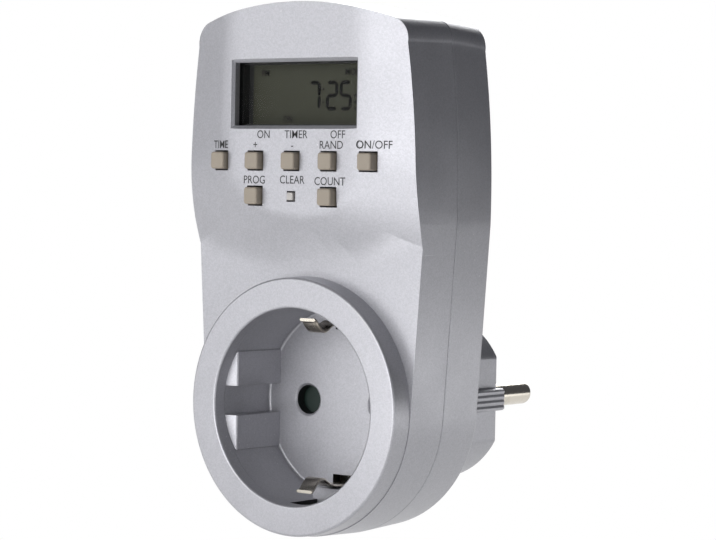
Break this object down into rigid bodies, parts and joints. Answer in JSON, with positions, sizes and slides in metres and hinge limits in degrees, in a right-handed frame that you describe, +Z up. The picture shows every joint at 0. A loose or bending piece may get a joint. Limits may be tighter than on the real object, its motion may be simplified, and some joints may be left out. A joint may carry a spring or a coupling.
{
  "type": "plug in timer switch",
  "caption": "Digital plug-in timer switch with an earthed round socket in front, a display with push keys above it and a two-pin earthed wall plug behind.",
  "frame": {"origin": "centre of the wall plug's face, midway between the two pins", "axes": "+Y along the pins towards the wall, +Z up towards the display end, +X to the right seen from the front"},
  "size_m": [0.0582, 0.0721, 0.1078],
  "materials": {
    "silver_shell": "satin silver paint on moulded plastic",
    "clear_lens": "clear acrylic window",
    "black_plastic": "matt black moulding",
    "lcd": "display glass with polariser",
    "conductive_rubber": "striped connector rubber",
    "circuit_board": "green solder resist",
    "grey_rubber": "silicone keypad sheet",
    "key_plastic": "warm grey moulded key",
    "black_resin": "black potting resin",
    "steel": "plated steel",
    "relay_case": "dark blue relay case",
    "capacitor_case": "yellow film capacitor case",
    "can_aluminium": "drawn can",
    "resistor_ceramic": "coated resistor body",
    "ribbon_pvc": "grey flat cable",
    "shutter_plastic": "dark green moulding",
    "carrier_plastic": "natural heat resistant moulding",
    "contact_brass": "bare brass",
    "nickel_brass": "nickel plated brass"
  },
  "bodies": {
    "housing": {"front_shell": "silver_shell", "socket_cup": "silver_shell", "rear_shell": "silver_shell", "lcd_lens": "clear_lens", "lcd_frame": "black_plastic", "lcd_glass": "lcd", "zebra_strips": "conductive_rubber", "display_board": "circuit_board", "keypad_mat": "grey_rubber", "chip": "black_resin", "crystal": "steel", "power_board": "circuit_board", "relay": "relay_case", "film_capacitor": "capacitor_case", "can_capacitor": "can_aluminium", "backup_cell": "steel", "cell_tabs": "steel", "resistors": "resistor_ceramic", "ribbon_cable": "ribbon_pvc", "shutter_spring": "steel", "contact_carrier": "carrier_plastic", "socket_contact_left": "contact_brass", "socket_contact_right": "contact_brass", "plug_pin_left": "nickel_brass", "plug_pin_right": "nickel_brass", "busbar_left": "contact_brass", "busbar_right": "contact_brass", "earth_clip_upper": "nickel_brass", "earth_clip_lower": "nickel_brass", "plug_earth_upper": "nickel_brass", "plug_earth_lower": "nickel_brass", "earth_bridge": "contact_brass", "housing_screws": "steel", "board_screws": "steel"},
    "clock_key_body": {"clock_key": "key_plastic"},
    "plus_key_body": {"plus_key": "key_plastic"},
    "minus_key_body": {"minus_key": "key_plastic"},
    "random_key_body": {"random_key": "key_plastic"},
    "on_off_key_body": {"on_off_key": "key_plastic"},
    "set_key_body": {"set_key": "key_plastic"},
    "reset_key_body": {"reset_key": "key_plastic"},
    "countdown_key_body": {"countdown_key": "key_plastic"},
    "shutter_body": {"shutter": "shutter_plastic"}
  },
  "joints": [
    {"name": "clock_key_press", "type": "slide", "parent": "housing", "child": "clock_key_body", "axis": [0, 1, 0], "range_m": [0, 0.0008], "stiffness_N_per_m": 200, "springref_m": -0.0004},
    {"name": "plus_key_press", "type": "slide", "parent": "housing", "child": "plus_key_body", "axis": [0, 1, 0], "range_m": [0, 0.0008], "stiffness_N_per_m": 200, "springref_m": -0.0004},
    {"name": "minus_key_press", "type": "slide", "parent": "housing", "child": "minus_key_body", "axis": [0, 1, 0], "range_m": [0, 0.0008], "stiffness_N_per_m": 200, "springref_m": -0.0004},
    {"name": "random_key_press", "type": "slide", "parent": "housing", "child": "random_key_body", "axis": [0, 1, 0], "range_m": [0, 0.0008], "stiffness_N_per_m": 200, "springref_m": -0.0004},
    {"name": "on_off_key_press", "type": "slide", "parent": "housing", "child": "on_off_key_body", "axis": [0, 1, 0], "range_m": [0, 0.0008], "stiffness_N_per_m": 200, "springref_m": -0.0004},
    {"name": "set_key_press", "type": "slide", "parent": "housing", "child": "set_key_body", "axis": [0, 1, 0], "range_m": [0, 0.0008], "stiffness_N_per_m": 200, "springref_m": -0.0004},
    {"name": "reset_key_press", "type": "slide", "parent": "housing", "child": "reset_key_body", "axis": [0, 1, 0], "range_m": [0, 0.0008], "stiffness_N_per_m": 200, "springref_m": -0.0004},
    {"name": "countdown_key_press", "type": "slide", "parent": "housing", "child": "countdown_key_body", "axis": [0, 1, 0], "range_m": [0, 0.0008], "stiffness_N_per_m": 200, "springref_m": -0.0004},
    {"name": "shutter_turn", "type": "hinge", "parent": "housing", "child": "shutter_body", "pos_m": [0, -0.0292, 0], "axis": [0, 1, 0], "range_deg": [0, 40], "stiffness_Nm_per_rad": 0.002, "springref_deg": -5.73}
  ]
}
